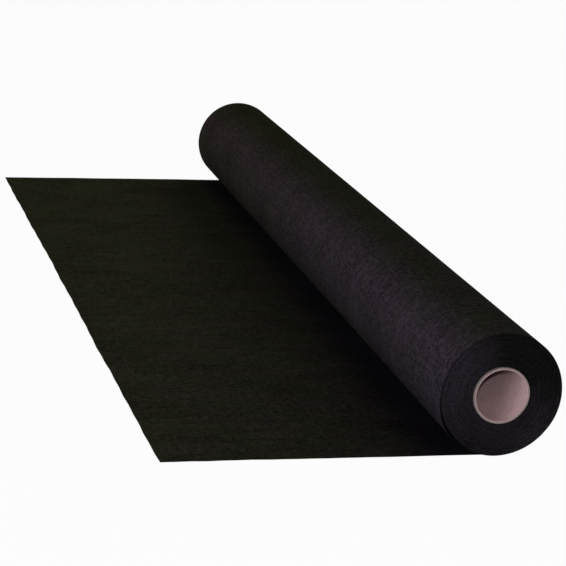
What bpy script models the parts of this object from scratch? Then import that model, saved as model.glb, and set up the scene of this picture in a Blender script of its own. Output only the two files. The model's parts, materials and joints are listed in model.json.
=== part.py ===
"""Roll of agricultural fleece on a spiral-wound paper core, its first stretch laid out on the floor.

The fleece is one web. It lies flat from its cut edge to the roll, passes under the roll and winds on
anticlockwise as seen from the near end. Only its outer turns are wound as a true ribbon, over a pack
that stands for the rest. The core is a board tube between two helical plies of kraft paper.

Frame, in metres: +X runs from the cut edge towards the roll, +Y along the roll away from the near end,
+Z up. The origin lies on the floor, in the middle of the part's footprint.
"""
import math

import bmesh
import bpy
import numpy as np

# Sizes of the web and the roll
WEB_WIDTH = 1.600
WEB_THICKNESS = 0.0004
ROLL_RADIUS = 0.0840
PRESSED_FLAT = 0.0005

# Sizes of the core, from the bore outwards
CORE_BORE = 0.070
LINER_THICKNESS = 0.0005
BOARD_THICKNESS = 0.0014
COVER_THICKNESS = 0.0005
CORE_PROUD = 0.0025
PLY_SEAM_GAP = 0.0008
PLY_ANGLE = math.radians(40.0)

# Sizes of the loosened outer turns
TURN_GAP = 0.00045
LOOSE_LIFT_NEAR = 0.0026
LOOSE_LIFT_FAR = 0.0002
LOOSE_REACH = 0.450
LOOSE_TURNS = 4.5
LOOSE_CENTRE = math.radians(257.0)
LOOSE_HALF_SPAN = math.radians(62.0)
SECOND_TURN_LIFT_SHARE = 0.4

# Sizes of the pack
TELESCOPE_STEP = 0.0012
RING_EDGE_SHARES = (0.0, 0.16, 0.38, 0.62, 0.85, 1.0)
RING_STEP_SHARES = (0.0, 1.0, 0.35, 0.8, 0.15)

# Sizes of the tape that holds the web's first edge to the core
TAPE_WIDTH = 0.025
TAPE_THICKNESS = 0.0003
TAPE_END_INSET = 0.010
TAPE_ANGLE = math.radians(15.0)

# Sizes of the stretch on the floor
LAID_REACH_NEAR = 0.439
LAID_REACH_FAR = 0.489
LAID_EDGE_INSET = 0.006
PEEL_LENGTH = 0.026
CUT_WANDER = 0.0015
CUT_WAVES = (3, 7)
CUT_POINTS = 28

# Clearance kept wherever two pieces touch
FIT_CLEARANCE = 0.0003

# Facets round the roll and round the core
ROLL_SEGMENTS = 64
CORE_SEGMENTS = 32
TAPE_RELIEF_FACETS = 1.5
LEAST_STEP_SHARE = 0.02
MERGE_SHARE = 0.01
SHARP_ANGLE = math.radians(30.0)

# Values worked out from the sizes above
FULL_TURN = 2.0 * math.pi
TURN_PITCH = WEB_THICKNESS + TURN_GAP
HALF_WEB = 0.5 * WEB_WIDTH
HALF_CORE = HALF_WEB + CORE_PROUD
LINER_INNER = 0.5 * CORE_BORE
LINER_OUTER = LINER_INNER + LINER_THICKNESS
BOARD_INNER = LINER_OUTER + FIT_CLEARANCE
BOARD_OUTER = BOARD_INNER + BOARD_THICKNESS
COVER_INNER = BOARD_OUTER + FIT_CLEARANCE
COVER_OUTER = COVER_INNER + COVER_THICKNESS
AXIS_HEIGHT = ROLL_RADIUS - PRESSED_FLAT
TAIL_REACH = math.sqrt(ROLL_RADIUS ** 2 - (AXIS_HEIGHT - WEB_THICKNESS - FIT_CLEARANCE) ** 2)
RIGHT_REACH = ROLL_RADIUS - 0.25 * TURN_PITCH
AXIS_X = 0.5 * (LAID_REACH_FAR - RIGHT_REACH)

FLEECE_ROLL_COLOUR = (0.017, 0.014, 0.016)
FLEECE_LAID_COLOUR = (0.014, 0.013, 0.008)
BOARD_COLOUR = (0.200, 0.155, 0.152)
LINER_COLOUR = (0.300, 0.215, 0.215)
COVER_COLOUR = (0.215, 0.170, 0.165)
TAPE_COLOUR = (0.420, 0.400, 0.360)


def clear_scene():
    """Removes whatever the open file holds."""
    for thing in list(bpy.data.objects):
        bpy.data.objects.remove(thing, do_unlink=True)


def make_material(name, colour, roughness):
    """Plain non-metallic finish of one colour."""
    material = bpy.data.materials.new(name)
    material.use_nodes = True
    shader = material.node_tree.nodes["Principled BSDF"]
    shader.inputs["Base Color"].default_value = (*colour, 1.0)
    shader.inputs["Roughness"].default_value = roughness
    shader.inputs["Metallic"].default_value = 0.0
    material.diffuse_color = (*colour, 1.0)
    return material


def make_empty(name, place, parent=None):
    """Marks a joint's place; the pieces that move with it are its children."""
    empty = bpy.data.objects.new(name, None)
    empty.location = place
    empty.parent = parent
    bpy.context.scene.collection.objects.link(empty)
    return empty


def make_piece(name, points, faces, material, parent=None, place=(0.0, 0.0, 0.0)):
    """Closed solid from points and faces, with coincident points merged and faces turned outwards."""
    mesh = bpy.data.meshes.new(name)
    mesh.from_pydata([tuple(point) for point in points], [], [tuple(face) for face in faces])
    shape = bmesh.new()
    shape.from_mesh(mesh)
    bmesh.ops.remove_doubles(shape, verts=shape.verts, dist=MERGE_SHARE * FIT_CLEARANCE)
    bmesh.ops.recalc_face_normals(shape, faces=shape.faces)
    shape.to_mesh(mesh)
    shape.free()
    mesh.materials.append(material)
    mesh.shade_smooth()
    mesh.set_sharp_from_angle(angle=SHARP_ANGLE)
    piece = bpy.data.objects.new(name, mesh)
    piece.location = place
    piece.parent = parent
    bpy.context.scene.collection.objects.link(piece)
    return piece


def around(radius, turned):
    """Point at a radius and an angle from the roll's lowest line, anticlockwise from the near end."""
    return radius * np.sin(turned), -radius * np.cos(turned)


def pressed(radius, turned):
    """Radius after the roll's weight has pressed its underside flat by PRESSED_FLAT."""
    flat = radius - PRESSED_FLAT
    return flat / np.maximum(np.cos(turned), flat / radius)


def spiral_radius(wound):
    """Outer face of the web after it has wound on by an angle from the lowest line."""
    return ROLL_RADIUS - TURN_PITCH * wound / FULL_TURN


def loose_lift(wound, lift):
    """How far the outermost turn, and less so the second, stands off on the side of the laid web."""
    total = np.zeros_like(wound)
    for turn, share in ((0, 1.0), (1, SECOND_TURN_LIFT_SHARE)):
        away = (wound - turn * FULL_TURN - LOOSE_CENTRE) / LOOSE_HALF_SPAN
        total += share * lift * np.where(np.abs(away) < 1.0, 0.5 + 0.5 * np.cos(np.pi * away), 0.0)
    return total


def turn_outline(lift):
    """Outer and inner edge of the wound ribbon's section, from the tail on the floor inwards."""
    steps = round(LOOSE_TURNS * ROLL_SEGMENTS)
    wound = np.arange(steps + 1) * FULL_TURN / ROLL_SEGMENTS
    outer = spiral_radius(wound) + loose_lift(wound, lift)
    outline = []
    for radius, rise in ((outer, 0.0), (outer - WEB_THICKNESS, WEB_THICKNESS)):
        across, up = around(pressed(radius, wound), wound)
        across = np.concatenate(([-TAIL_REACH], across))
        up = np.concatenate(([-AXIS_HEIGHT + rise], up))
        outline.append(np.stack((across, up), axis=1))
    return outline


def least_gap(outer, inner):
    """Least distance between stretches of the ribbon that lie more than half a turn apart."""
    best = math.inf
    half_turn = ROLL_SEGMENTS // 2
    starts, ends = inner[:-1], inner[1:]
    for index, point in enumerate(outer):
        last = index - half_turn
        if last < 1:
            continue
        run = ends[:last] - starts[:last]
        along = ((point - starts[:last]) * run).sum(axis=1) / (run * run).sum(axis=1)
        nearest = starts[:last] + run * np.clip(along, 0.0, 1.0)[:, None]
        best = min(best, float(np.sqrt(((point - nearest) ** 2).sum(axis=1)).min()))
    return best


def build_outer_turns(material, parent):
    """Unbroken ribbon of the outer turns, its tail on the floor.

    Its section is set at three places along the roll: loose at the near end, and tight from LOOSE_REACH on.
    """
    places = (-HALF_WEB, LOOSE_REACH - HALF_WEB, HALF_WEB)
    sections = [turn_outline(lift) for lift in (LOOSE_LIFT_NEAR, LOOSE_LIFT_FAR, LOOSE_LIFT_FAR)]
    gap = min(least_gap(outer, inner) for outer, inner in sections)
    print("outer_turns least gap to itself: %.3f mm" % (gap * 1000.0))
    outer_rails = [(outer, along) for (outer, inner), along in zip(sections, places)]
    inner_rails = [(inner, along) for (outer, inner), along in zip(sections, places)]
    rails = outer_rails + inner_rails[::-1]
    count = len(rails)
    stations = len(rails[0][0])
    points = []
    for station in range(stations):
        points += [(rail[station][0], along, rail[station][1]) for rail, along in rails]
    faces = []
    for station in range(stations - 1):
        first = count * station
        for side in range(count):
            after = (side + 1) % count
            faces.append((first + side, first + after, first + count + after, first + count + side))
    for first in (0, len(points) - count):
        for side in range(len(places) - 1):
            across = first + count - 1 - side
            faces.append((first + side, first + side + 1, across - 1, across))
    return make_piece("outer_turns", points, faces, material, parent)


def tape_span():
    """Half the angle round the core that the tape covers, in whole facets of the roll."""
    half_facets = max(1, round(0.5 * TAPE_WIDTH / COVER_OUTER * ROLL_SEGMENTS / FULL_TURN))
    return half_facets * FULL_TURN / ROLL_SEGMENTS


def pack_bore(turned):
    """Radius of the pack's bore, relieved where the web's first edge is taped to the core."""
    plain = COVER_OUTER + FIT_CLEARANCE
    facet = FULL_TURN / ROLL_SEGMENTS
    away = abs((turned - TAPE_ANGLE + math.pi) % FULL_TURN - math.pi)
    if away > tape_span() + TAPE_RELIEF_FACETS * facet:
        return plain / math.cos(0.5 * facet)
    return (plain + TAPE_THICKNESS + FIT_CLEARANCE) / math.cos(0.5 * facet)


def build_wound_fleece(material, parent):
    """Annular pack: its round goes on with the web's spiral, its ends step in rings of turns."""
    facet = FULL_TURN / ROLL_SEGMENTS
    wound_end = round(LOOSE_TURNS * ROLL_SEGMENTS) * facet
    step_gap = 2.0 * FIT_CLEARANCE / spiral_radius(wound_end)
    wound = [wound_end + step_gap] + [wound_end + facet * (index + 1) for index in range(ROLL_SEGMENTS)]
    profile = []
    for ring, step in enumerate(RING_STEP_SHARES):
        for edge in (RING_EDGE_SHARES[ring], RING_EDGE_SHARES[ring + 1]):
            profile.append((edge, HALF_WEB - step * TELESCOPE_STEP))
    profile = [(edge, -along) for edge, along in profile] + profile[::-1]
    points = []
    for angle in wound:
        bore = pack_bore(angle)
        outside = float(pressed(spiral_radius(angle), angle))
        for edge, along in profile:
            across, up = around(bore + edge * (outside - bore), angle)
            points.append((across, along, up))
    faces = []
    count = len(profile)
    for station in range(len(wound)):
        after = (station + 1) % len(wound)
        for edge in range(count):
            next_edge = (edge + 1) % count
            faces.append((station * count + edge, station * count + next_edge,
                          after * count + next_edge, after * count + edge))
    return make_piece("wound_fleece", points, faces, material, parent)


def build_starter_tape(material, parent):
    """Strip of tape bent round the core, under the pack's relieved bore."""
    facet = FULL_TURN / ROLL_SEGMENTS
    inner = (COVER_OUTER + FIT_CLEARANCE) / math.cos(0.5 * facet)
    outer = inner + TAPE_THICKNESS
    half = tape_span()
    facets = round(2.0 * half / facet)
    reach = HALF_WEB - TAPE_END_INSET
    points = []
    for index in range(facets + 1):
        angle = TAPE_ANGLE - half + index * facet
        for radius, along in ((inner, -reach), (inner, reach), (outer, reach), (outer, -reach)):
            across, up = around(radius, angle)
            points.append((across, along, up))
    faces = [(0, 1, 2, 3), tuple(range(4 * facets, 4 * facets + 4))]
    for index in range(facets):
        for side in range(4):
            after = (side + 1) % 4
            first = 4 * index
            faces.append((first + side, first + after, first + 4 + after, first + 4 + side))
    return make_piece("starter_tape", points, faces, material, parent)


def on_core(radius, step):
    """Point on the core's faceted round, where a step is one facet and may be a fraction of one."""
    facet = FULL_TURN / CORE_SEGMENTS
    low = math.floor(step)
    part = step - low
    low_across, low_up = around(radius, low * facet)
    high_across, high_up = around(radius, (low + 1) * facet)
    return low_across + part * (high_across - low_across), low_up + part * (high_up - low_up)


def build_helical_ply(name, inner, outer, start_step, material, parent):
    """One strip of paper wound in a helix along the whole core, edge to edge with a narrow seam.

    The strip's edges climb by one lead each turn; both are cut off square at the core's ends.
    """
    lead = FULL_TURN * inner * math.tan(PLY_ANGLE)
    climb = lead / CORE_SEGMENTS
    length = 2.0 * HALF_CORE
    seam = PLY_SEAM_GAP
    print("%s seam gap: %.3f mm" % (name, seam * math.cos(PLY_ANGLE) * 1000.0))
    first = (seam - lead) / climb
    last = length / climb
    crossings = [first, 0.0, (length - lead + seam) / climb, last]
    whole = [float(step) for step in range(math.ceil(first), math.floor(last) + 1)]
    steps = [step for step in sorted(set(whole + crossings)) if first <= step <= last]
    kept = [steps[0]]
    for step in steps[1:]:
        if step - kept[-1] > LEAST_STEP_SHARE:
            kept.append(step)
    kept[-1] = last
    points = []
    for step in kept:
        low = min(max(climb * step, 0.0), length)
        high = min(max(climb * step + lead - seam, 0.0), length)
        for radius, along in ((inner, low), (inner, high), (outer, high), (outer, low)):
            across, up = on_core(radius, step + start_step)
            points.append((across, along - HALF_CORE, up))
    faces = []
    for station in range(len(kept) - 1):
        for side in range(4):
            after = (side + 1) % 4
            base = 4 * station
            faces.append((base + side, base + after, base + 4 + after, base + 4 + side))
    return make_piece(name, points, faces, material, parent)


def build_core_board(material, parent):
    """Plain board tube between the two plies, sawn square at both ends."""
    facet = FULL_TURN / CORE_SEGMENTS
    corners = ((BOARD_INNER, -HALF_CORE), (BOARD_INNER, HALF_CORE),
               (BOARD_OUTER, HALF_CORE), (BOARD_OUTER, -HALF_CORE))
    points = []
    for index in range(CORE_SEGMENTS):
        for radius, along in corners:
            across, up = around(radius, index * facet)
            points.append((across, along, up))
    faces = []
    for index in range(CORE_SEGMENTS):
        after_index = (index + 1) % CORE_SEGMENTS
        for side in range(4):
            after = (side + 1) % 4
            faces.append((4 * index + side, 4 * index + after,
                          4 * after_index + after, 4 * after_index + side))
    return make_piece("core_board", points, faces, material, parent)


def cut_reach(share):
    """Reach of the cut edge from the roll's lowest line, at a share of the way along the web's width."""
    straight = LAID_REACH_NEAR + share * (LAID_REACH_FAR - LAID_REACH_NEAR)
    wander = sum(math.sin(waves * math.pi * share) for waves in CUT_WAVES) / len(CUT_WAVES)
    return straight - CUT_WANDER * wander * wander


def build_flat_web(name, outline, material, parent=None, place=(0.0, 0.0, 0.0)):
    """Web of WEB_THICKNESS over a plan outline, its underside on the floor."""
    count = len(outline)
    points = [(across, along, 0.0) for across, along in outline]
    points += [(across, along, WEB_THICKNESS) for across, along in outline]
    faces = [tuple(range(count)), tuple(range(count, 2 * count))]
    for index in range(count):
        after = (index + 1) % count
        faces.append((index, after, count + after, count + index))
    return make_piece(name, points, faces, material, parent, place)


def build_peel_strip(material, parent):
    """Narrow stretch of the web that has just left the roll and travels with it."""
    right = -(TAIL_REACH + FIT_CLEARANCE)
    left = right - PEEL_LENGTH
    edge = HALF_WEB - LAID_EDGE_INSET
    outline = [(left, -edge), (right, -edge), (right, edge), (left, edge)]
    return build_flat_web("peel_strip", outline, material, parent)


def build_laid_sheet(material):
    """Stretch that lies on the floor, ending in a hand-cut edge that runs slightly askew."""
    right = -(TAIL_REACH + PEEL_LENGTH + 2.0 * FIT_CLEARANCE)
    edge = HALF_WEB - LAID_EDGE_INSET
    outline = [(right, -edge), (right, edge)]
    for index in range(CUT_POINTS + 1):
        share = 1.0 - index / CUT_POINTS
        outline.append((-cut_reach(share), -edge + 2.0 * edge * share))
    return build_flat_web("laid_sheet", outline, material, place=(AXIS_X, 0.0, 0.0))


def main():
    clear_scene()
    rolled = make_material("fleece_rolled", FLEECE_ROLL_COLOUR, 0.85)
    laid = make_material("fleece_laid", FLEECE_LAID_COLOUR, 0.9)
    board = make_material("core_board", BOARD_COLOUR, 0.9)
    liner = make_material("core_liner", LINER_COLOUR, 0.75)
    cover = make_material("core_cover", COVER_COLOUR, 0.8)
    tape = make_material("starter_tape", TAPE_COLOUR, 0.4)
    peel_line = make_empty("peel_line", (AXIS_X, 0.0, 0.0))
    roll_axis = make_empty("roll_axis", (0.0, 0.0, AXIS_HEIGHT), peel_line)
    build_laid_sheet(laid)
    build_peel_strip(laid, peel_line)
    build_outer_turns(rolled, roll_axis)
    build_wound_fleece(rolled, roll_axis)
    build_starter_tape(tape, roll_axis)
    build_helical_ply("core_cover", COVER_INNER, COVER_OUTER, CORE_SEGMENTS // 2, cover, roll_axis)
    build_core_board(board, roll_axis)
    build_helical_ply("core_liner", LINER_INNER, LINER_OUTER, 0, liner, roll_axis)


main()
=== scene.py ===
"""Roll of agricultural fleece: the looks of the web, of the roll's ends and of its paper core.

Every piece is a surface worked out over a grid of two parameters. Lengths are in metres, in the frame of
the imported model: +X runs from the cut edge towards the roll, +Y away from the near end, +Z up. Angles round
the roll start at its lowest line and run anticlockwise as seen from the near end.
"""
import json
import math

import bmesh
import bpy
import numpy as np
from bpy.props import FloatProperty, FloatVectorProperty, PointerProperty
from bpy.types import Operator, Panel, PropertyGroup
from mathutils import Matrix, Vector


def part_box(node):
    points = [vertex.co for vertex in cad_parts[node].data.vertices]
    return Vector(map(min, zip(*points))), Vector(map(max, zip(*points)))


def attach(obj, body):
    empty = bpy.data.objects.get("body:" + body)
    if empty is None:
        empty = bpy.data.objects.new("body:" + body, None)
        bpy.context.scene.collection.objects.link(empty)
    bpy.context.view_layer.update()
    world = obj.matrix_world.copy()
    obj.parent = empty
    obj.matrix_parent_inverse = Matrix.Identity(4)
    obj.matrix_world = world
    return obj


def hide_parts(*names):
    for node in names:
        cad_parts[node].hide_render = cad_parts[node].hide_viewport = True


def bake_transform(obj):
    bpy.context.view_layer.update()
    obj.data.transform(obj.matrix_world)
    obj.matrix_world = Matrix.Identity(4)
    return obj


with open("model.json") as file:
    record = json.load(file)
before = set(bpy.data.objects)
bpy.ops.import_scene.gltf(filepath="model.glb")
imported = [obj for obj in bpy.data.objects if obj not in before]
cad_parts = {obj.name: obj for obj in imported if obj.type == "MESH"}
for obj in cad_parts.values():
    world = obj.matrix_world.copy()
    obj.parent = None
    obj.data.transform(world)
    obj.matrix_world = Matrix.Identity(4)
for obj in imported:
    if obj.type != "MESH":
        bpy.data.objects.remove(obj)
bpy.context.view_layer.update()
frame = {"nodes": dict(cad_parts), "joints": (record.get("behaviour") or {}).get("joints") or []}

bl_info = {
    "name": "Roll of fleece",
    "version": (1, 0, 0),
    "blender": (4, 5, 0),
    "location": "View3D > Sidebar > Fleece",
    "description": "Builds a roll of garden fleece on a paper core, its first stretch laid out flat",
    "category": "Add Mesh",
}

# Places read from the frame
SPIN_JOINT = next(joint for joint in frame["joints"] if joint["name"] == "roll_spin")
AXIS_X, _, AXIS_HEIGHT = SPIN_JOINT["pos_m"]
LAID_LOW, LAID_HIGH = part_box("laid_sheet")
HALF_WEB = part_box("wound_fleece")[1].y
HALF_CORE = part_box("core_board")[1].y
COVER_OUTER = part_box("core_cover")[1].z - AXIS_HEIGHT
LINER_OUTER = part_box("core_liner")[1].z - AXIS_HEIGHT
WEB_THICKNESS = LAID_HIGH.z - LAID_LOW.z
LAID_REACH_FAR = AXIS_X - LAID_LOW.x

# Counts of the grids
LAID_ROWS = 300
LAID_COLUMNS = 100
TURN_STEPS = 144
WOUND_TURNS = 2
TAIL_STEPS = 4
TURN_ROWS = 120
PACK_STEPS = 160
PACK_TURNS = 60
POINTS_A_TURN = 3
CORE_STEPS = 96
PLY_ROWS = 5
BOARD_ROWS = 48

FULL_TURN = 2.0 * math.pi
SHARP_ANGLE = math.radians(35.0)
MERGE_DISTANCE = 1e-6
ROUNDING = 1e-6

# Air between the pack and the core, and between the board and its two plies
FIT_CLEARANCE = 0.0003
TIGHT_CLEARANCE = 0.00002

# How far the cut edge is set in, in parts of its stray, and over what length the roll presses the web's
# waves flat
CUT_INSET_SHARE = 0.6
PRESS_LENGTH = 0.06

# By what angle the web's edges have gone over from the laid stretch's to the pack's, and where round the
# roll the outer turn stands furthest past the pack's near end
SETTLE_ANGLE = math.radians(70.0)
PROUD_CENTRE = math.radians(275.0)
PROUD_HALF_SPAN = math.radians(82.0)

# Where round the near end the outer turn stands off and the pack beside it is pressed in. The turn comes
# back quickly towards the ground, so that it clears the laid web wherever the roll has travelled.
LOOSE_CENTRE = math.radians(303.0)
LOOSE_RISE_SPAN = math.radians(50.0)
LOOSE_FALL_SPAN = math.radians(24.0)
DENT_HALF_SPAN = math.radians(55.0)

# Ends of the pack: the height across one turn's edge and how unevenly the turns stand, both in parts of a
# ridge, for how many turns past either side that unevenness is drawn, and how much the rings drift round
# the roll, in parts of their own height
RIDGE_PROFILE_SHARES = (0.0, 1.0, 0.55, 0.0)
JITTER_SPREAD = 0.35
SPARE_TURNS = 2
RING_DRIFT_SHARE = 0.35

# Wavelengths and seed of each soft noise
CUT_STRAY = ((0.83, 0.37, 0.16, 0.071, 0.033), 3)
NEAR_EDGE_STRAY = ((0.21, 0.083, 0.037), 5)
FAR_EDGE_STRAY = ((0.19, 0.07, 0.031), 7)
FLOOR_WAVES = ((0.62, 0.34, 0.23, 0.17, 0.11, 0.29), 11)
ROLL_DENTS = ((0.31, 0.21, 0.47, 0.15), 13)
PLY_RIM_STRAY = ((0.021, 0.009, 0.004), 41)
BOARD_RIM_STRAY = ((0.013, 0.006, 0.003), 43)
RING_LENGTHS = (0.031, 0.0173, 0.0091, 0.0058)
RING_DRIFT_LENGTHS = (0.071, 0.043)
NEAR_END_SEED = 21
FAR_END_SEED = 31

# Where along the web its colours are reached, in parts of the roll's radius: before the roll's lowest line
# on the laid stretch, where they paint the roll's shadow on it, and round the roll on the outer turns, where
# they are angles and paint a sheen on the roll's side above the laid web
LAID_SHADOW_STOPS = (-5.2, -1.6, -0.9)
ROLLED_SHEEN_STOPS = (math.radians(195.0), math.radians(238.0), math.radians(300.0))

# Finishes that hold all over a piece
FLEECE_ROUGHNESS = 0.92
FLEECE_SPECULAR = 0.002
FLEECE_RELIEF = 0.0003
KRAFT_ROUGHNESS = 0.75
BOARD_ROUGHNESS = 0.9
TAPE_ROUGHNESS = 0.45
PAPER_SPECULAR = 0.25
PAPER_RELIEF = 0.0002

# Lamps, each named as its strength is: azimuth and elevation in degrees, distance, width and height
LAMPS = (
    ("side_light", 214.0, 9.0, 9.0, 6.4, 3.2),
    ("front_light", 248.0, 21.0, 7.0, 0.16, 0.16),
    ("fill_light", 285.0, 30.0, 8.0, 3.2, 3.2),
    ("back_light", 45.0, 40.0, 8.0, 3.6, 3.6),
)
WHITE = (1.0, 1.0, 1.0, 1.0)

# How far the camera sees, how far the floor reaches, and how little it lies below the web
CAMERA_SIGHT = 50.0
FLOOR_REACH = 30.0
FLOOR_DROP = 0.0002


def metres(name, description, default):
    """Length that a user may set."""
    return FloatProperty(name=name, description=description, default=default, precision=5,
                         subtype="DISTANCE", unit="LENGTH")


def share(name, description, default):
    """Plain factor that a user may set."""
    return FloatProperty(name=name, description=description, default=default, min=0.0)


def angle(name, description, degrees):
    """Angle that a user may set."""
    return FloatProperty(name=name, description=description, default=math.radians(degrees),
                         subtype="ANGLE", unit="ROTATION")


def colour(name, description, default):
    """Linear colour that a user may set."""
    return FloatVectorProperty(name=name, description=description, default=default, size=3,
                               subtype="COLOR", min=0.0, max=1.0)


class FleeceWeb(PropertyGroup):
    """Sizes and colours of the fleece, with the roll's painted shadow on the laid web, a painted sheen on the
    roll's side and painted light and shade across its ends.
    """
    cut_skew: metres("Cut skew", "How much nearer to the roll the cut edge ends at the near end", 0.050)
    cut_wander: metres("Cut wander", "How far the hand-cut edge strays from a straight line", 0.0016)
    edge_wobble: metres("Edge wobble", "How far the laid web's long edges stray", 0.0011)
    near_inset: metres("Near inset", "How much the laid web is narrower at the near cut corner", 0.002)
    floor_ripple: metres("Ripple", "How far the laid web's waves stand off the floor", 0.0008)
    tail_reach: metres("Tail reach", "Stretch of web that lies flat before the roll's lowest line", 0.0085)
    turn_gap: metres("Turn gap", "Air between the outer turns", 0.00008)
    loose_lift: metres("Loose lift", "How far the outer turn stands off at the near end", 0.0016)
    pack_dent: metres("Pack dent", "How far the pack is pressed in beside the loose turn", 0.0018)
    loose_reach: metres("Loose reach", "How far along the roll the outer turn stays loose", 0.30)
    edge_proud: metres("Edge proud", "How far the outer turn's edge stands past the pack", 0.0022)
    roundness: metres("Unevenness", "How far the roll falls short of a true round", 0.0002)
    ridge: metres("Ridge", "Height of each turn's edge over the groove beside it", 0.00022)
    telescope: metres("Telescope", "How far rings of turns stand in and out at the ends", 0.0006)
    # Painted shadow of the roll: the laid web darkens from its cut edge towards the roll
    laid_colour: colour("Laid colour", "Laid web by its cut edge", (0.0222, 0.0216, 0.0144))
    half_shadow_colour: colour("Middle colour", "Laid web short of the roll", (0.0142, 0.0132, 0.0104))
    roll_shadow_colour: colour("Peeled colour", "Laid web beside the roll", (0.0068, 0.0054, 0.0082))
    # Painted sheen round the roll: its side above the laid web is lighter, its top and low side darker
    rolled_colour: colour("Rolled colour", "Top of the roll", (0.0170, 0.0162, 0.0132))
    painted_sheen_colour: colour("Side colour", "Side of the roll above the laid web", (0.0324, 0.0238, 0.0350))
    under_colour: colour("Underside colour", "Low side of the roll", (0.0180, 0.0150, 0.0190))
    # Painted light and shade across the ends: lighter towards the lower left, darker towards the upper right
    lit_edges_colour: colour("Slack colour", "Turns' edges where they lie loosely", (0.0124, 0.0102, 0.0140))
    shaded_edges_colour: colour("Tight colour", "Turns' edges where they lie tightly", (0.0046, 0.0044, 0.0044))


class FleeceCore(PropertyGroup):
    """Sizes and colours of the paper core."""
    cover_thickness: metres("Cover", "Thickness of the outer kraft ply", 0.0005)
    liner_thickness: metres("Liner", "Thickness of the inner kraft ply", 0.0005)
    seam_gap: metres("Seam", "Width of the seam between a ply's edges", 0.0008)
    ply_angle: angle("Ply angle", "Climb of the helical plies", 40.0)
    rim_roughness: metres("Rim", "How far the sawn ends stray from a plane", 0.00018)
    cover_colour: colour("Cover colour", "Outer kraft ply", (0.130, 0.103, 0.098))
    board_colour: colour("Board colour", "Board plies", (0.180, 0.143, 0.140))
    liner_colour: colour("Liner colour", "Inner kraft ply", (0.388, 0.262, 0.271))
    tape_colour: colour("Tape colour", "Tape on the core", (0.420, 0.400, 0.360))


class FleeceStage(PropertyGroup):
    """Camera, lights and floor."""
    camera_offset: FloatVectorProperty(
        name="Camera", description="Camera's place from the foot of the roll's near end",
        default=(-0.8205, -1.9758, 0.8072), size=3, subtype="TRANSLATION", unit="LENGTH")
    camera_yaw: angle("Yaw", "Turn of the camera to the right of the roll's axis", 14.793)
    camera_pitch: angle("Pitch", "Tilt of the camera below the horizon", 15.678)
    camera_roll: angle("Roll", "Roll of the camera", 3.991)
    lens: FloatProperty(name="Lens", description="Focal length in millimetres", default=111.10)
    ambient: share("Ambient", "Light that comes from all round", 0.07)
    side_light: share("Side light", "Strength of the broad low light at the left front", 0.66)
    front_light: share("Front light", "Strength of the small light just above the camera", 0.45)
    fill_light: share("Fill light", "Strength of the broad light at the right front", 0.16)
    back_light: share("Back light", "Strength of the broad light behind on the right", 0.18)
    backdrop_share: share("Backdrop share", "How much of the floor shows as plain backdrop", 0.95)
    floor_colour: colour("Floor colour", "Pale floor", (0.95, 0.95, 0.95))


def ease(value):
    """Smooth step: 0 up to 0, 1 from 1, and t t (3 - 2 t) between."""
    t = np.clip(value, 0.0, 1.0)
    return t * t * (3.0 - 2.0 * t)


def hump(turned, centre, half_span):
    """Smooth hump of height 1 over an angle: (1 + cos(pi d / half span)) / 2 within the half span."""
    away = np.clip((turned - centre) / half_span, -1.0, 1.0)
    return 0.5 + 0.5 * np.cos(math.pi * away)


def soft_noise(first, second, lengths, seed):
    """Smooth unevenness between -1 and 1: the mean of sin(2 pi (x cos d + y sin d) / length + p)
    over the given lengths, with a seeded direction d and phase p for each."""
    chance = np.random.default_rng(seed)
    total = np.zeros(np.broadcast(first, second).shape)
    for length in lengths:
        heading, phase = chance.uniform(0.0, FULL_TURN, 2)
        travelled = first * math.cos(heading) + second * math.sin(heading)
        total += np.sin(FULL_TURN * travelled / length + phase)
    return total / len(lengths)


def around(radius, turned):
    """Place at a radius and an angle round the roll: x = axis x + r sin a, z = axis height - r cos a."""
    return AXIS_X + radius * np.sin(turned), AXIS_HEIGHT - radius * np.cos(turned)


def points_of(across, along, up):
    """Grid of points from three arrays that broadcast to one shape."""
    return np.stack(np.broadcast_arrays(across, along, up), axis=-1)


def web_places(along, travelled):
    """Places on the web for both faces of a stretch of it: across the web, and along its length."""
    places = np.stack(np.broadcast_arrays(along, travelled), axis=-1).reshape(-1, 2)
    return np.concatenate((places, places))


def quads(number):
    """Four corners of each cell of a grid of vertex numbers."""
    corners = (number[:-1, :-1], number[1:, :-1], number[1:, 1:], number[:-1, 1:])
    return np.stack(corners, axis=-1).reshape(-1, 4)


def slab(front, back):
    """Closed thin solid between two grids of points of one shape, with its four edges stitched. The faces of
    both grids come first, and then those of the edges."""
    rows, columns = front.shape[:2]
    number = np.arange(rows * columns).reshape(rows, columns)
    rim = np.concatenate((number[0, :-1], number[:-1, -1], number[-1, :0:-1], number[:0:-1, 0]))
    after = np.roll(rim, -1)
    stitched = np.stack((rim, after, after + number.size, rim + number.size), axis=-1)
    faces = np.concatenate((quads(number), quads(number + number.size)[:, ::-1], stitched))
    return np.concatenate((front.reshape(-1, 3), back.reshape(-1, 3))), faces


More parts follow.
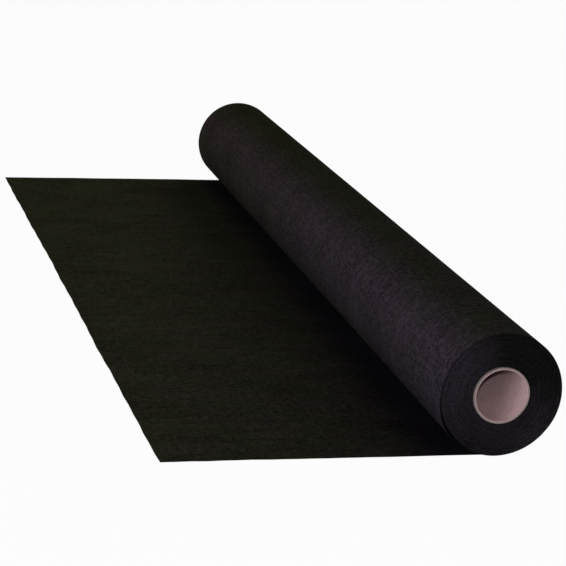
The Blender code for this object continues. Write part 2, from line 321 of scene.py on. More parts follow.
def make_piece(name, points, faces, material, places=None, merge=False):
    """Mesh object from arrays of points and faces, turned outwards and shaded smooth."""
    mesh = bpy.data.meshes.new(name)
    mesh.vertices.add(len(points))
    mesh.vertices.foreach_set("co", np.asarray(points, np.float32).ravel())
    mesh.loops.add(faces.size)
    mesh.loops.foreach_set("vertex_index", faces.astype(np.int32).ravel())
    mesh.polygons.add(len(faces))
    mesh.polygons.foreach_set("loop_start", np.arange(0, faces.size, 4, dtype=np.int32))
    mesh.update(calc_edges=True)
    if places is not None:
        layer = mesh.uv_layers.new(name="web")
        layer.uv.foreach_set("vector", places[faces.ravel()].astype(np.float32).ravel())
    shape = bmesh.new()
    shape.from_mesh(mesh)
    if merge:
        bmesh.ops.remove_doubles(shape, verts=shape.verts, dist=MERGE_DISTANCE)
    bmesh.ops.recalc_face_normals(shape, faces=shape.faces)
    shape.to_mesh(mesh)
    shape.free()
    mesh.shade_smooth()
    mesh.set_sharp_from_angle(angle=SHARP_ANGLE)
    mesh.materials.append(material)
    piece = bpy.data.objects.new(name, mesh)
    bpy.context.scene.collection.objects.link(piece)
    return piece


def laid_web(web):
    """Both faces of the laid stretch and their places on the web, over u from the near to the far edge and
    v from the cut to the roll.

    x = axis x + cut(u) + v (tail - cut(u)), y = near(x) + u (far(x) - near(x)), z = ripple (1 + noise) / 2,
    with the ripple let down to the floor where the roll presses on it.
    """
    u = np.linspace(0.0, 1.0, LAID_ROWS)[:, None]
    v = np.linspace(0.0, 1.0, LAID_COLUMNS)[None, :]
    width = LAID_HIGH.y - LAID_LOW.y
    stray = CUT_INSET_SHARE + soft_noise(u * width, 0.0, *CUT_STRAY)
    cut = -(LAID_REACH_FAR - (1.0 - u) * web.cut_skew) + web.cut_wander * stray
    reach = cut + v * (-web.tail_reach - cut)
    loose = 1.0 - ease((reach + LAID_REACH_FAR) / (LAID_REACH_FAR - web.tail_reach))
    near_edge = LAID_LOW.y + web.near_inset * loose
    near_edge = near_edge + web.edge_wobble * loose * soft_noise(reach, 0.0, *NEAR_EDGE_STRAY)
    far_edge = LAID_HIGH.y + web.edge_wobble * loose * (soft_noise(reach, 0.0, *FAR_EDGE_STRAY) - 1.0)
    along = near_edge + u * (far_edge - near_edge)
    lie = ease((-reach - web.tail_reach) / PRESS_LENGTH)
    rise = 0.5 + 0.5 * soft_noise(reach, along, *FLOOR_WAVES)
    rise = web.floor_ripple * lie * rise
    under = points_of(AXIS_X + reach, along, rise)
    over = points_of(AXIS_X + reach, along, rise + WEB_THICKNESS)
    return over, under, web_places(along, reach)


def turn_edges(web, wound):
    """Near and far edge of the web as it winds on by an angle: the laid web's edges at first, then the
    pack's, with the whole web shifted towards the near end where the outer turn passes the left side."""
    settle = ease(wound / SETTLE_ANGLE)
    shift = web.edge_proud * hump(wound, PROUD_CENTRE, PROUD_HALF_SPAN)
    near_edge = LAID_LOW.y + settle * (-HALF_WEB - LAID_LOW.y) - shift
    far_edge = LAID_HIGH.y + settle * (HALF_WEB - LAID_HIGH.y) - shift
    return near_edge, far_edge


def out_of_round(web, turned, along):
    """How far the roll falls short of its radius, the same for each turn, and none at its lowest line."""
    dent = 0.5 + 0.5 * soft_noise(np.cos(turned) * AXIS_HEIGHT, along, *ROLL_DENTS)
    return web.roundness * dent * (0.5 - 0.5 * np.cos(turned))


def outer_turns(web):
    """Both faces of the outer turns as one ribbon and their places on the web, over the wound angle a and u
    from the near to the far edge.

    r = height / cos a on the floor before the lowest line, and past it
    r = height - pitch a / 2 pi + fade(d) (lift(a) - dent(a)) - out of round(a, d).
    The first turn's lift and the second turn's dent are humps on the laid web's side, and leave the loosened
    crescent between them. Both fade with the distance d from the near end, by exp(-(d / reach) squared).
    """
    tail_angle = math.atan(web.tail_reach / AXIS_HEIGHT)
    before = np.linspace(-tail_angle, 0.0, TAIL_STEPS, endpoint=False)
    turns = np.arange(WOUND_TURNS * TURN_STEPS + 1) * FULL_TURN / TURN_STEPS
    wound = np.concatenate((before, turns))[:, None]
    u = np.linspace(0.0, 1.0, TURN_ROWS)[None, :]
    near_edge, far_edge = turn_edges(web, wound)
    along = near_edge + u * (far_edge - near_edge)
    pitch = WEB_THICKNESS + web.turn_gap
    fade = np.exp(-np.square((along + HALF_WEB) / web.loose_reach))
    loose_span = np.where(wound < LOOSE_CENTRE, LOOSE_RISE_SPAN, LOOSE_FALL_SPAN)
    lift = web.loose_lift * hump(wound, LOOSE_CENTRE, loose_span)
    dent = web.pack_dent * hump(wound - FULL_TURN, LOOSE_CENTRE, DENT_HALF_SPAN)
    outer = AXIS_HEIGHT - pitch * wound / FULL_TURN + fade * (lift - dent) - out_of_round(web, wound, along)
    outer = np.where(wound < 0.0, AXIS_HEIGHT / np.cos(wound), outer)
    inner = np.where(wound < 0.0, (AXIS_HEIGHT - WEB_THICKNESS) / np.cos(wound), outer - WEB_THICKNESS)
    face_across, face_up = around(outer, wound)
    back_across, back_up = around(inner, wound)
    face = points_of(face_across, along, face_up)
    back = points_of(back_across, along, back_up)
    return face, back, web_places(along, AXIS_HEIGHT * wound)


def pack_end(web, side, seed):
    """Grid of one end of the pack, over the angle a and the row j, three rows to a turn of the spiral.

    r = bore + pitch (j / 3 + a / 2 pi), held between the bore and the round of the pack, and
    y = half width - telescope (1 - rings(r, a)) / 2 + ridge (profile(j) + jitter(turn) - 1 / 2),
    mirrored for the near end. There the rows are also pressed in by dent(a) times the cube of their share
    of the way out.
    """
    bore = COVER_OUTER + FIT_CLEARANCE
    radius = AXIS_HEIGHT - WOUND_TURNS * (WEB_THICKNESS + web.turn_gap) - WEB_THICKNESS - web.roundness
    pitch = (radius - bore) / PACK_TURNS
    turned = (np.arange(PACK_STEPS) * FULL_TURN / PACK_STEPS)[:, None]
    rows = (np.arange(-POINTS_A_TURN, PACK_TURNS * POINTS_A_TURN + 1) / POINTS_A_TURN)[None, :]
    spiral = np.clip(rows, -turned / FULL_TURN, PACK_TURNS - turned / FULL_TURN)
    ring = bore + pitch * (spiral + turned / FULL_TURN)
    turn = np.floor(spiral + ROUNDING)
    knots = np.arange(-SPARE_TURNS, PACK_TURNS + SPARE_TURNS + 1)
    jitter = np.random.default_rng(seed).normal(0.0, JITTER_SPREAD, len(knots))
    stand = np.interp(turn + turned / FULL_TURN, knots, jitter)
    profile = np.interp(spiral - turn, np.linspace(0.0, 1.0, POINTS_A_TURN + 1), RIDGE_PROFILE_SHARES)
    rings = soft_noise(ring, 0.0, RING_LENGTHS, seed + 1)
    drift = soft_noise(np.cos(turned) * ring, np.sin(turned) * ring, RING_DRIFT_LENGTHS, seed + 2)
    rings = rings + RING_DRIFT_SHARE * drift
    along = HALF_WEB - web.telescope * (0.5 - 0.5 * rings) + web.ridge * (profile + stand - 0.5)
    way_out = (ring - bore) / (radius - bore)
    pressed = web.pack_dent * hump(turned, LOOSE_CENTRE, DENT_HALF_SPAN) * way_out ** 3
    across, up = around(ring - (pressed if side < 0.0 else 0.0), turned)
    return points_of(across, side * along, up)


def wound_pack(web):
    """Pack of wound turns: both spiral ends, joined along the bore and the round of the pack. Each row meets
    the next turn's row where the angle closes."""
    near, far = pack_end(web, -1.0, NEAR_END_SEED), pack_end(web, 1.0, FAR_END_SEED)
    steps, rows = near.shape[:2]
    number = np.arange(steps * rows).reshape(steps, rows)
    carried = np.roll(number[0], -POINTS_A_TURN)
    faces = [quads(number), quads(number + number.size)]
    seam = np.stack((number[-1], carried))[:, :rows - POINTS_A_TURN]
    faces += [quads(seam), quads(seam + number.size)]
    for edge in (0, -1):
        line = np.append(number[:, edge], number[0, edge])
        faces.append(quads(np.stack((line, line + number.size))))
    return np.concatenate((near.reshape(-1, 3), far.reshape(-1, 3))), np.concatenate(faces)


def sawn_stray(core, turned, radius, waves):
    """How far a sawn rim strays from its plane at an angle and a radius: a soft noise over the rim."""
    return core.rim_roughness * soft_noise(np.cos(turned) * radius, np.sin(turned) * radius, *waves)


def helical_ply(core, inner, outer, start_angle):
    """Both faces of one strip of paper wound in a helix along the core, over the turned angle a and the share
    t across the strip: y = lead (a / 2 pi - 1) + t (lead - seam) from the near end, held between the core's
    two sawn ends."""
    lead = FULL_TURN * inner * math.tan(core.ply_angle)
    length = 2.0 * HALF_CORE
    last = math.ceil((length / lead + 1.0) * CORE_STEPS)
    turned = (np.arange(last + 1) * FULL_TURN / CORE_STEPS)[:, None]
    t = np.linspace(0.0, 1.0, PLY_ROWS)[None, :]
    along = np.clip(lead * (turned / FULL_TURN - 1.0) + t * (lead - core.seam_gap), 0.0, length)
    turned = turned + start_angle
    sawn = sawn_stray(core, turned, outer, PLY_RIM_STRAY)
    along = along - HALF_CORE + sawn * (1.0 - 2.0 * along / length)
    face_across, face_up = around(outer, turned)
    back_across, back_up = around(inner, turned)
    return points_of(face_across, along, face_up), points_of(back_across, along, back_up)


def board_tube(core, inner, outer):
    """Closed board tube: a rectangle's profile carried round the axis, its sawn rims slightly rough."""
    turned = (np.arange(CORE_STEPS) * FULL_TURN / CORE_STEPS)[:, None]
    length = np.linspace(-HALF_CORE, HALF_CORE, BOARD_ROWS)
    radius = np.concatenate((np.full(BOARD_ROWS, outer), np.full(BOARD_ROWS, inner)))[None, :]
    along = np.concatenate((length, length[::-1]))[None, :]
    sawn = sawn_stray(core, turned, radius, BOARD_RIM_STRAY)
    across, up = around(radius, turned)
    points = points_of(across, along - sawn * along / HALF_CORE, up)
    number = np.arange(turned.size * radius.size).reshape(turned.size, radius.size)
    closed = np.concatenate((number, number[:1]))
    closed = np.concatenate((closed, closed[:, :1]), axis=1)
    return points.reshape(-1, 3), quads(closed)


def add_node(tree, kind, inputs=(), **settings):
    """One node with its settings and inputs: a socket is linked to an input, a plain value is set."""
    node = tree.nodes.new(kind)
    for name, value in settings.items():
        setattr(node, name, value)
    for key, value in dict(inputs).items():
        if isinstance(value, bpy.types.NodeSocket):
            tree.links.new(value, node.inputs[key])
        else:
            node.inputs[key].default_value = value
    return node


def maths(tree, operation, first, second=0.0, third=0.0, clamp=False):
    """Output of one Math node."""
    inputs = {0: first, 1: second, 2: third}
    return add_node(tree, "ShaderNodeMath", inputs, operation=operation, use_clamp=clamp).outputs[0]


def mixed(tree, factor, first, second, blend="MIX"):
    """Colour from one Mix node, which has its colours at inputs 6 and 7 and at output 2."""
    inputs = {0: factor, 6: first, 7: second}
    return add_node(tree, "ShaderNodeMix", inputs, data_type="RGBA", blend_type=blend).outputs[2]


def times(tree, first, second):
    """Product of two colours."""
    return mixed(tree, 1.0, first, second, "MULTIPLY")


def noise(tree, vector, scale, detail=2.0, roughness=0.5):
    """Value of one Noise Texture node."""
    inputs = {"Vector": vector, "Scale": scale, "Detail": detail, "Roughness": roughness}
    return add_node(tree, "ShaderNodeTexNoise", inputs).outputs[0]


def spread(tree, value, low, high):
    """Value stretched so that low becomes 0 and high becomes 1, held between them."""
    return add_node(tree, "ShaderNodeMapRange", {0: value, 1: low, 2: high}).outputs[0]


def axes_of(tree, vector):
    """X, Y and Z of a vector."""
    return add_node(tree, "ShaderNodeSeparateXYZ", {0: vector}).outputs


def stretched(tree, vector, turn, stretch):
    """Vector turned about Z, then shortened along its new Y, for grain that is longer that way."""
    inputs = {"Vector": vector, "Rotation": (0.0, 0.0, turn), "Scale": (1.0, stretch, 1.0)}
    return add_node(tree, "ShaderNodeMapping", inputs, vector_type="TEXTURE").outputs[0]


def new_group(name, inputs, outputs):
    """Empty node group with its inputs and outputs, and its two end nodes."""
    tree = bpy.data.node_groups.new(name, "ShaderNodeTree")
    for title, kind, default in inputs:
        socket = tree.interface.new_socket(title, in_out="INPUT", socket_type=kind)
        if default is not None:
            socket.default_value = default
    for title in outputs:
        tree.interface.new_socket(title, in_out="OUTPUT", socket_type="NodeSocketFloat")
    return tree, tree.nodes.new("NodeGroupInput"), tree.nodes.new("NodeGroupOutput")


def group_node(tree, name, inputs):
    """One of the groups placed in a material."""
    return add_node(tree, "ShaderNodeGroup", inputs, node_tree=bpy.data.node_groups[name])


def spunbond_group():
    """Group of laid-down filaments: strokes at three headings, in bundles and singly, and bond points.

    Bundles and single filaments are each the strongest of three stretched noises. The tone is their weighted
    sum, and the height is the tone less the bond points, where two sine waves at 45 degrees to the web meet.
    """
    tree, start, end = new_group("Spunbond filaments", [
        ("Vector", "NodeSocketVector", None), ("Bundle Width", "NodeSocketFloat", 0.0042),
        ("Filament Width", "NodeSocketFloat", 0.0016), ("Bond Pitch", "NodeSocketFloat", 0.0019)],
        ("Tone", "Height"))
    bundle_share, single_share, bond_depth, stroke_stretch = 0.30, 0.70, 0.5, 6.5
    place = start.outputs["Vector"]
    strokes = []
    for width, headings in (("Bundle Width", (0.35, 1.45, 2.50)), ("Filament Width", (0.05, 1.05, 2.15))):
        scale = maths(tree, "DIVIDE", 1.0, start.outputs[width])
        layers = [noise(tree, stretched(tree, place, heading, stroke_stretch), scale, detail=1.0)
                  for heading in headings]
        most = maths(tree, "MAXIMUM", maths(tree, "MAXIMUM", layers[0], layers[1]), layers[2])
        strokes.append(spread(tree, most, low=0.48, high=0.72))
    bundles, singles = strokes
    tone = maths(tree, "MULTIPLY_ADD", singles, single_share, maths(tree, "MULTIPLY", bundles, bundle_share))
    grid = axes_of(tree, stretched(tree, place, turn=math.radians(45.0), stretch=1.0))
    wave = maths(tree, "DIVIDE", FULL_TURN, start.outputs["Bond Pitch"])
    across = maths(tree, "SINE", maths(tree, "MULTIPLY", grid[0], wave))
    along = maths(tree, "SINE", maths(tree, "MULTIPLY", grid[1], wave))
    bond = spread(tree, maths(tree, "MULTIPLY", across, along), low=0.35, high=0.85)
    height = maths(tree, "SUBTRACT", tone, maths(tree, "MULTIPLY", bond, bond_depth))
    tree.links.new(tone, end.inputs["Tone"])
    tree.links.new(height, end.inputs["Height"])


def formation_group():
    """Group of uneven laydown: clouds of thicker web, streaks along its length and a drifting cast."""
    tree, start, end = new_group("Web formation", [
        ("Vector", "NodeSocketVector", None), ("Cloud Scale", "NodeSocketFloat", 11.0),
        ("Streak Scale", "NodeSocketFloat", 60.0), ("Cast Scale", "NodeSocketFloat", 19.0)],
        ("Cloud", "Streak", "Cast"))
    place = start.outputs["Vector"]
    cloud = noise(tree, stretched(tree, place, turn=0.0, stretch=1.4), start.outputs["Cloud Scale"],
                  detail=3.0, roughness=0.55)
    streak = noise(tree, stretched(tree, place, turn=0.0, stretch=9.0), start.outputs["Streak Scale"],
                   detail=3.0, roughness=0.6)
    cast = noise(tree, stretched(tree, place, turn=0.6, stretch=1.8), start.outputs["Cast Scale"])
    tree.links.new(spread(tree, cloud, low=0.32, high=0.68), end.inputs["Cloud"])
    tree.links.new(spread(tree, streak, low=0.30, high=0.70), end.inputs["Streak"])
    tree.links.new(spread(tree, cast, low=0.35, high=0.65), end.inputs["Cast"])


def paper_group():
    """Group of recycled paper: cloudy tone, short fibres one way and dark specks."""
    tree, start, end = new_group("Recycled paper", [
        ("Vector", "NodeSocketVector", None), ("Fibre Scale", "NodeSocketFloat", 900.0),
        ("Fibre Turn", "NodeSocketVector", (0.0, 0.0, 0.0))], ("Tone", "Specks", "Height"))
    fibre_share, cloud_share, fibre_stretch = 0.55, 0.45, 5.0
    place = start.outputs["Vector"]
    inputs = {"Vector": place, "Rotation": start.outputs["Fibre Turn"], "Scale": (1.0, fibre_stretch, 1.0)}
    laid = add_node(tree, "ShaderNodeMapping", inputs, vector_type="TEXTURE").outputs[0]
    fibres = noise(tree, laid, start.outputs["Fibre Scale"], detail=3.0, roughness=0.6)
    clouds = noise(tree, place, scale=70.0, detail=3.0, roughness=0.6)
    specks = spread(tree, noise(tree, place, scale=520.0, detail=1.0), low=0.66, high=0.72)
    fibre_tone = maths(tree, "MULTIPLY", fibres, fibre_share)
    tone = maths(tree, "ADD", fibre_tone, maths(tree, "MULTIPLY", clouds, cloud_share))
    tree.links.new(spread(tree, tone, low=0.36, high=0.64), end.inputs["Tone"])
    tree.links.new(specks, end.inputs["Specks"])
    tree.links.new(fibres, end.inputs["Height"])


def new_material(name, roughness, specular):
    """Material with its shader, set to one roughness and one specular level."""
    material = bpy.data.materials.new(name)
    material.use_nodes = True
    tree = material.node_tree
    shader = tree.nodes["Principled BSDF"]
    shader.inputs["Roughness"].default_value = roughness
    shader.inputs["Specular IOR Level"].default_value = specular
    return material, tree, shader


def object_place(tree):
    """Place in the model's frame, for a pattern that runs through a piece."""
    return add_node(tree, "ShaderNodeTexCoord").outputs["Object"]


def raise_grain(tree, shader, height, strength, relief):
    """Sets the shader's normal by a Bump node over a height."""
    bump = add_node(tree, "ShaderNodeBump", {"Strength": strength, "Distance": relief, "Height": height})
    tree.links.new(bump.outputs[0], shader.inputs["Normal"])


def painted(value, factor=1.0):
    """Colour times a factor, as a node's four numbers."""
    return tuple(np.asarray(value) * factor) + (1.0,)


def grey(level):
    """Grey of one level, as a node's four numbers."""
    return level, level, level, 1.0


def fleece_material(name, stops, tints, far_light_tint, far_stretch, streaks):
    """Spunbond web: its colour drifts along its length from tint to tint, painted shade and sheen, between
    stops in parts of the roll's radius that draw together towards the far edge, where a painted tint of the
    light there is reached. Filaments, clouds and streaks vary its tone, and its hue drifts between a violet
    and an olive cast."""
    cloud_share, thin_shade, thick_shade = 0.15, 0.15, 2.00
    violet_cast, olive_cast = (1.045, 0.970, 1.07), (0.955, 1.030, 0.93)
    material, tree, shader = new_material(name, FLEECE_ROUGHNESS, FLEECE_SPECULAR)
    place = add_node(tree, "ShaderNodeUVMap", uv_map="web").outputs[0]
    axes = axes_of(tree, place)
    filaments = group_node(tree, "Spunbond filaments", {"Vector": place}).outputs
    laydown = group_node(tree, "Web formation", {"Vector": place}).outputs
    across = spread(tree, axes[0], -HALF_WEB, HALF_WEB)
    distance = maths(tree, "MULTIPLY", axes[1], maths(tree, "MULTIPLY_ADD", across, far_stretch, 1.0))
    paint = painted(tints[0])
    for low, high, tint in zip(stops, stops[1:], tints[1:]):
        reached = spread(tree, distance, low * AXIS_HEIGHT, high * AXIS_HEIGHT)
        paint = mixed(tree, reached, paint, painted(tint))
    # Painted light towards the far edge: the light's colour and level there, mixed in across the web
    paint = times(tree, paint, mixed(tree, across, WHITE, painted(far_light_tint)))
    tone = maths(tree, "MULTIPLY", filaments["Tone"], 1.0 - cloud_share - streaks)
    tone = maths(tree, "MULTIPLY_ADD", laydown["Cloud"], cloud_share, tone)
    tone = maths(tree, "MULTIPLY_ADD", laydown["Streak"], streaks, tone)
    paint = times(tree, paint, mixed(tree, tone, grey(thin_shade), grey(thick_shade)))
    paint = times(tree, paint, mixed(tree, laydown["Cast"], painted(violet_cast), painted(olive_cast)))
    tree.links.new(paint, shader.inputs["Base Color"])
    raise_grain(tree, shader, filaments["Height"], strength=0.35, relief=FLEECE_RELIEF)
    return material


def painted_end_light(tree, centred):
    """Share of painted light on an end, from 0 in painted shade to 1 where it is lightest: it grows from the
    upper right to the lower left, is less on one pair of opposite shoulders and more on the other, and varies
    in patches.

    With x, z and x', z' as parts of the radius, the second pair turned by the shoulders' turn, it is
    spread(x + upward lean z) + shoulder strength x' z' + patch strength (patches - 1 / 2).
    """
    shaded_side, lit_side, upward_lean = 0.75, -0.95, 0.70
    shoulder_turn, shoulder_strength, patch_strength = math.radians(102.0), 1.4, 0.9
    patches = noise(tree, centred, scale=34.0)
    axes = axes_of(tree, centred)
    lean = maths(tree, "MULTIPLY_ADD", axes[2], upward_lean, axes[0])
    lit_share = spread(tree, lean, shaded_side * AXIS_HEIGHT, lit_side * AXIS_HEIGHT)
    turned = add_node(tree, "ShaderNodeMapping", {"Vector": centred, "Rotation": (0.0, shoulder_turn, 0.0)})
    shoulders = axes_of(tree, turned.outputs[0])
    bulge = maths(tree, "MULTIPLY", shoulders[0], shoulders[2])
    lit_share = maths(tree, "MULTIPLY_ADD", bulge, shoulder_strength / AXIS_HEIGHT ** 2, lit_share)
    uneven = maths(tree, "SUBTRACT", patches, 0.5)
    return maths(tree, "MULTIPLY_ADD", uneven, patch_strength, lit_share, clamp=True)


def end_material(web):
    """Edges of the wound turns: painted light and shade across the end, darker towards the upper right and
    lighter towards the lower left, with rings of lighter and darker turns that wander, broken up by stray
    filaments. The pack and the outer turns share it."""
    made = bpy.data.materials.get("fleece_edges")
    if made:
        return made
    ring_wander, ring_share, stray_share, dark_shade, light_shade = 0.010, 0.34, 0.66, 0.30, 1.70
    material, tree, shader = new_material("fleece_edges", FLEECE_ROUGHNESS, FLEECE_SPECULAR)
    place = object_place(tree)
    centred = add_node(tree, "ShaderNodeMapping", {
        "Vector": place, "Location": (-AXIS_X, 0.0, -AXIS_HEIGHT), "Scale": (1.0, 0.0, 1.0)}).outputs[0]
    radius = add_node(tree, "ShaderNodeVectorMath", {0: centred}, operation="LENGTH").outputs["Value"]
    wander = maths(tree, "MULTIPLY_ADD", noise(tree, centred, scale=26.0, detail=1.0), ring_wander, radius)
    rings = add_node(tree, "ShaderNodeTexNoise", {"W": wander, "Scale": 420.0, "Detail": 3.0},
                     noise_dimensions="1D").outputs[0]
    strays = noise(tree, place, scale=310.0, detail=3.0, roughness=0.6)
    # Painted light and shade across the end, between the shaded and the lit edges' colour
    paint = mixed(tree, painted_end_light(tree, centred), painted(web.shaded_edges_colour), painted(web.lit_edges_colour))
    tone = maths(tree, "MULTIPLY_ADD", strays, stray_share, maths(tree, "MULTIPLY", rings, ring_share))
    shade = mixed(tree, spread(tree, tone, low=0.30, high=0.70), grey(dark_shade), grey(light_shade))
    tree.links.new(times(tree, paint, shade), shader.inputs["Base Color"])
    raise_grain(tree, shader, strays, strength=0.5, relief=FLEECE_RELIEF)
    return material


def paper_material(name, base, roughness, fibre_turn):
    """Kraft paper, board or tape: cloudy tone, fibres along the ply and a few dark specks."""
    dark_pulp, light_pulp, speck_shade, speck_strength = 0.86, 1.12, 0.45, 0.35
    material, tree, shader = new_material(name, roughness, PAPER_SPECULAR)
    paper = group_node(tree, "Recycled paper", {
        "Vector": object_place(tree), "Fibre Turn": (0.0, 0.0, fibre_turn)}).outputs
    paint = mixed(tree, paper["Tone"], painted(base, dark_pulp), painted(base, light_pulp))
    specks = maths(tree, "MULTIPLY", paper["Specks"], speck_strength)
    paint = mixed(tree, specks, paint, painted(base, speck_shade))
    tree.links.new(paint, shader.inputs["Base Color"])
    raise_grain(tree, shader, paper["Height"], strength=0.3, relief=PAPER_RELIEF)
    return material


class FLEECE_OT_groups(Operator):
    """Makes the node groups that the materials share"""
    bl_idname = "fleece.groups"
    bl_label = "Make shared effects"

    def execute(self, context):
        spunbond_group()
        formation_group()
        paper_group()
        return {"FINISHED"}


class FLEECE_OT_laid_web(Operator):
    """Lays the first stretch of the web out on the floor"""
    bl_idname = "fleece.laid_web"
    bl_label = "Lay the web"

    def execute(self, context):
        web = context.scene.fleece_web
        over, under, places = laid_web(web)
        points, faces = slab(over, under)
        # Painted shadow of the roll on the laid web, deepest beside it
        tints = (web.laid_colour, web.half_shadow_colour, web.roll_shadow_colour)
        material = fleece_material("laid_fleece", LAID_SHADOW_STOPS, tints, far_light_tint=(1.08, 1.15, 0.92),
                                   far_stretch=0.5, streaks=0.13)
        piece = make_piece("laid_fleece", points, faces, material, places)
        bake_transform(piece)
        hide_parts("laid_sheet", "peel_strip")
        return {"FINISHED"}


class FLEECE_OT_outer_turns(Operator):
    """Winds the outer turns as one unbroken ribbon, loosened at the near end"""
    bl_idname = "fleece.outer_turns"
    bl_label = "Wind the outer turns"

    def execute(self, context):
        web = context.scene.fleece_web
        face, back, places = outer_turns(web)
        points, faces = slab(face, back)
        # Painted sheen on the roll's side, between its darker top and low side
        tints = (web.rolled_colour, web.painted_sheen_colour, web.under_colour)
        material = fleece_material("rolled_fleece", ROLLED_SHEEN_STOPS, tints, far_light_tint=(0.82, 0.90, 0.52),
                                   far_stretch=0.04, streaks=0.09)
        piece = make_piece("turned_fleece", points, faces, material, places)
        # The faces of the web's cut edges come last in the slab, and look like the ends of the pack
        piece.data.materials.append(end_material(web))
        flat_faces = 2 * (face.shape[0] - 1) * (face.shape[1] - 1)
        cut_edges = np.arange(len(faces)) >= flat_faces
        piece.data.polygons.foreach_set("material_index", cut_edges.astype(np.int32))
        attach(piece, "roll")
        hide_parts("outer_turns")
        return {"FINISHED"}


class FLEECE_OT_pack(Operator):
    """Builds the pack of wound turns with its spiral ends"""
    bl_idname = "fleece.pack"
    bl_label = "Wind the pack"

    def execute(self, context):
        web = context.scene.fleece_web
        points, faces = wound_pack(web)
        piece = make_piece("packed_fleece", points, faces, end_material(web), merge=True)
        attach(piece, "roll")
        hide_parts("wound_fleece")
        return {"FINISHED"}


class FLEECE_OT_core(Operator):
    """Builds the paper core from its plies, and finishes the tape on it"""
    bl_idname = "fleece.core"
    bl_label = "Build the core"

    def execute(self, context):
        core = context.scene.fleece_core
        liner_inner = LINER_OUTER - core.liner_thickness
        cover_inner = COVER_OUTER - core.cover_thickness
        plies = (
            ("kraft_cover", "core_cover", cover_inner, COVER_OUTER, math.pi, core.cover_colour),
            ("kraft_liner", "core_liner", liner_inner, LINER_OUTER, 0.0, core.liner_colour),
        )
        for slot, node, inner, outer, start_angle, base in plies:
            points, faces = slab(*helical_ply(core, inner, outer, start_angle))
            material = paper_material(slot, base, KRAFT_ROUGHNESS, core.ply_angle)
            piece = make_piece(slot, points, faces, material, merge=True)
            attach(piece, "roll")
            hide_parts(node)
        points, faces = board_tube(core, LINER_OUTER + TIGHT_CLEARANCE, cover_inner - TIGHT_CLEARANCE)
        material = paper_material("core_board", core.board_colour, BOARD_ROUGHNESS, 0.0)
        board = make_piece("board_tube", points, faces, material)
        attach(board, "roll")
        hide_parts("core_board")
        tape = frame["nodes"]["starter_tape"]
        tape.data.materials.clear()
        tape.data.materials.append(paper_material("starter_tape", core.tape_colour, TAPE_ROUGHNESS, 0.0))
        return {"FINISHED"}


def look_along(stage):
    """Camera's matrix from its yaw, pitch and roll about its place."""
    yaw, pitch, roll = stage.camera_yaw, stage.camera_pitch, stage.camera_roll
    ahead = Vector((math.sin(yaw) * math.cos(pitch), math.cos(yaw) * math.cos(pitch), -math.sin(pitch)))
    level = Vector((math.cos(yaw), -math.sin(yaw), 0.0))
    upright = level.cross(ahead)
    right = math.cos(roll) * level + math.sin(roll) * upright
    up = math.cos(roll) * upright - math.sin(roll) * level
    place = Vector((AXIS_X, -HALF_WEB, 0.0)) + Vector(stage.camera_offset)
    matrix = Matrix((right, up, -ahead)).transposed().to_4x4()
    matrix.translation = place
    return matrix


def add_area_light(name, azimuth, elevation, distance, width, height, level):
    """Rectangular lamp towards an azimuth from +X and an elevation, seen from the roll's near end.

    It lights a surface that faces it there to about the given level of white.
    """
    lamp = bpy.data.lights.new(name, "AREA")
    lamp.shape = "RECTANGLE"
    lamp.size = width
    lamp.size_y = height
    lamp.energy = level * math.pi * math.pi * distance * distance
    turn, rise = math.radians(azimuth), math.radians(elevation)
    toward = Vector((math.cos(turn) * math.cos(rise), math.sin(turn) * math.cos(rise), math.sin(rise)))
    light = bpy.data.objects.new(name, lamp)
    light.location = Vector((AXIS_X, -HALF_WEB, AXIS_HEIGHT)) + distance * toward
    light.rotation_euler = toward.to_track_quat("Z", "Y").to_euler()
    bpy.context.scene.collection.objects.link(light)


def backdrop_factor(tree):
    """1 for rays that look at the backdrop, straight or in a gloss or glass, and 0 for light."""
    path = add_node(tree, "ShaderNodeLightPath").outputs
    glossy = maths(tree, "MAXIMUM", path["Is Camera Ray"], path["Is Glossy Ray"])
    return maths(tree, "MAXIMUM", glossy, path["Is Transmission Ray"])


def white_world(ambient):
    """World that shows white and lights softly."""
    world = bpy.data.worlds.new("studio")
    world.use_nodes = True
    tree = world.node_tree
    lighting = tree.nodes["Background"]
    lighting.inputs["Color"].default_value = WHITE
    lighting.inputs["Strength"].default_value = ambient
    shown = add_node(tree, "ShaderNodeBackground", {"Color": WHITE, "Strength": 1.0})
    inputs = {0: backdrop_factor(tree), 1: lighting.outputs[0], 2: shown.outputs[0]}
    mix = add_node(tree, "ShaderNodeMixShader", inputs)
    tree.links.new(mix.outputs[0], tree.nodes["World Output"].inputs["Surface"])
    bpy.context.scene.world = world


def floor_material(stage):
    """Pale floor that shows nearly white and keeps a faint shadow."""
    material, tree, shader = new_material("floor", roughness=0.9, specular=0.2)
    tone = noise(tree, object_place(tree), scale=3.0)
    paint = mixed(tree, tone, painted(stage.floor_colour, 0.99), painted(stage.floor_colour, 1.01))
    tree.links.new(paint, shader.inputs["Base Color"])
    shown = add_node(tree, "ShaderNodeEmission", {"Color": WHITE, "Strength": 1.0})
    factor = maths(tree, "MULTIPLY", backdrop_factor(tree), stage.backdrop_share)
    mix = add_node(tree, "ShaderNodeMixShader", {0: factor, 1: shader.outputs[0], 2: shown.outputs[0]})
    tree.links.new(mix.outputs[0], tree.nodes["Material Output"].inputs["Surface"])
    return material


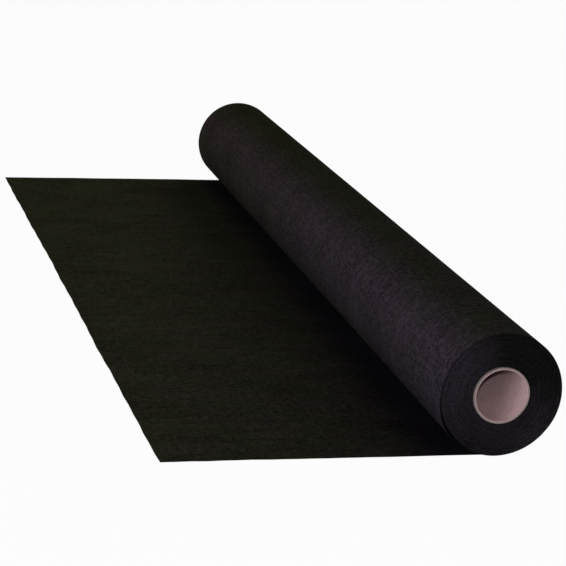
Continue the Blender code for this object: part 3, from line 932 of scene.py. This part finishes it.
class FLEECE_OT_stage(Operator):
    """Sets up the floor, the lights and the camera"""
    bl_idname = "fleece.stage"
    bl_label = "Set the stage"

    def execute(self, context):
        scene = context.scene
        stage = scene.fleece_stage
        camera = bpy.data.objects.new("camera", bpy.data.cameras.new("camera"))
        camera.data.lens = stage.lens
        camera.data.clip_end = CAMERA_SIGHT
        camera.matrix_world = look_along(stage)
        scene.collection.objects.link(camera)
        scene.camera = camera
        for name, azimuth, elevation, distance, width, height in LAMPS:
            add_area_light(name, azimuth, elevation, distance, width, height, getattr(stage, name))
        white_world(stage.ambient)
        corners = FLOOR_REACH * np.array([(-1.0, -1.0), (1.0, -1.0), (1.0, 1.0), (-1.0, 1.0)])
        points = np.column_stack((corners, np.full(len(corners), -FLOOR_DROP)))
        floor = make_piece("floor", points, np.array([[0, 1, 2, 3]]), floor_material(stage))
        scene.view_settings.view_transform = "Standard"
        return {"FINISHED"}


OPERATORS = (FLEECE_OT_groups, FLEECE_OT_stage, FLEECE_OT_laid_web, FLEECE_OT_outer_turns, FLEECE_OT_pack,
             FLEECE_OT_core)
SETTINGS = {"fleece_web": FleeceWeb, "fleece_core": FleeceCore, "fleece_stage": FleeceStage}


class FLEECE_PT_roll(Panel):
    """Sizes, colours and steps of the roll of fleece"""
    bl_idname = "FLEECE_PT_roll"
    bl_label = "Roll of fleece"
    bl_space_type = "VIEW_3D"
    bl_region_type = "UI"
    bl_category = "Fleece"

    def draw(self, context):
        for name, group in SETTINGS.items():
            box = self.layout.box()
            for field in group.__annotations__:
                box.prop(getattr(context.scene, name), field)
        for operator in OPERATORS:
            self.layout.operator(operator.bl_idname)


def register():
    """Makes the panel, the steps and the settings known to Blender."""
    for group in (*SETTINGS.values(), *OPERATORS, FLEECE_PT_roll):
        bpy.utils.register_class(group)
    for name, group in SETTINGS.items():
        setattr(bpy.types.Scene, name, PointerProperty(type=group))


def unregister():
    """Takes them out again, in the other order."""
    for name in SETTINGS:
        delattr(bpy.types.Scene, name)
    for group in reversed((*SETTINGS.values(), *OPERATORS, FLEECE_PT_roll)):
        bpy.utils.unregister_class(group)


def main():
    """Registers the add-on and runs its steps in order."""
    register()
    bpy.ops.fleece.groups()
    bpy.ops.fleece.stage()
    bpy.ops.fleece.laid_web()
    bpy.ops.fleece.outer_turns()
    bpy.ops.fleece.pack()
    bpy.ops.fleece.core()


if __name__ == "__main__":
    main()
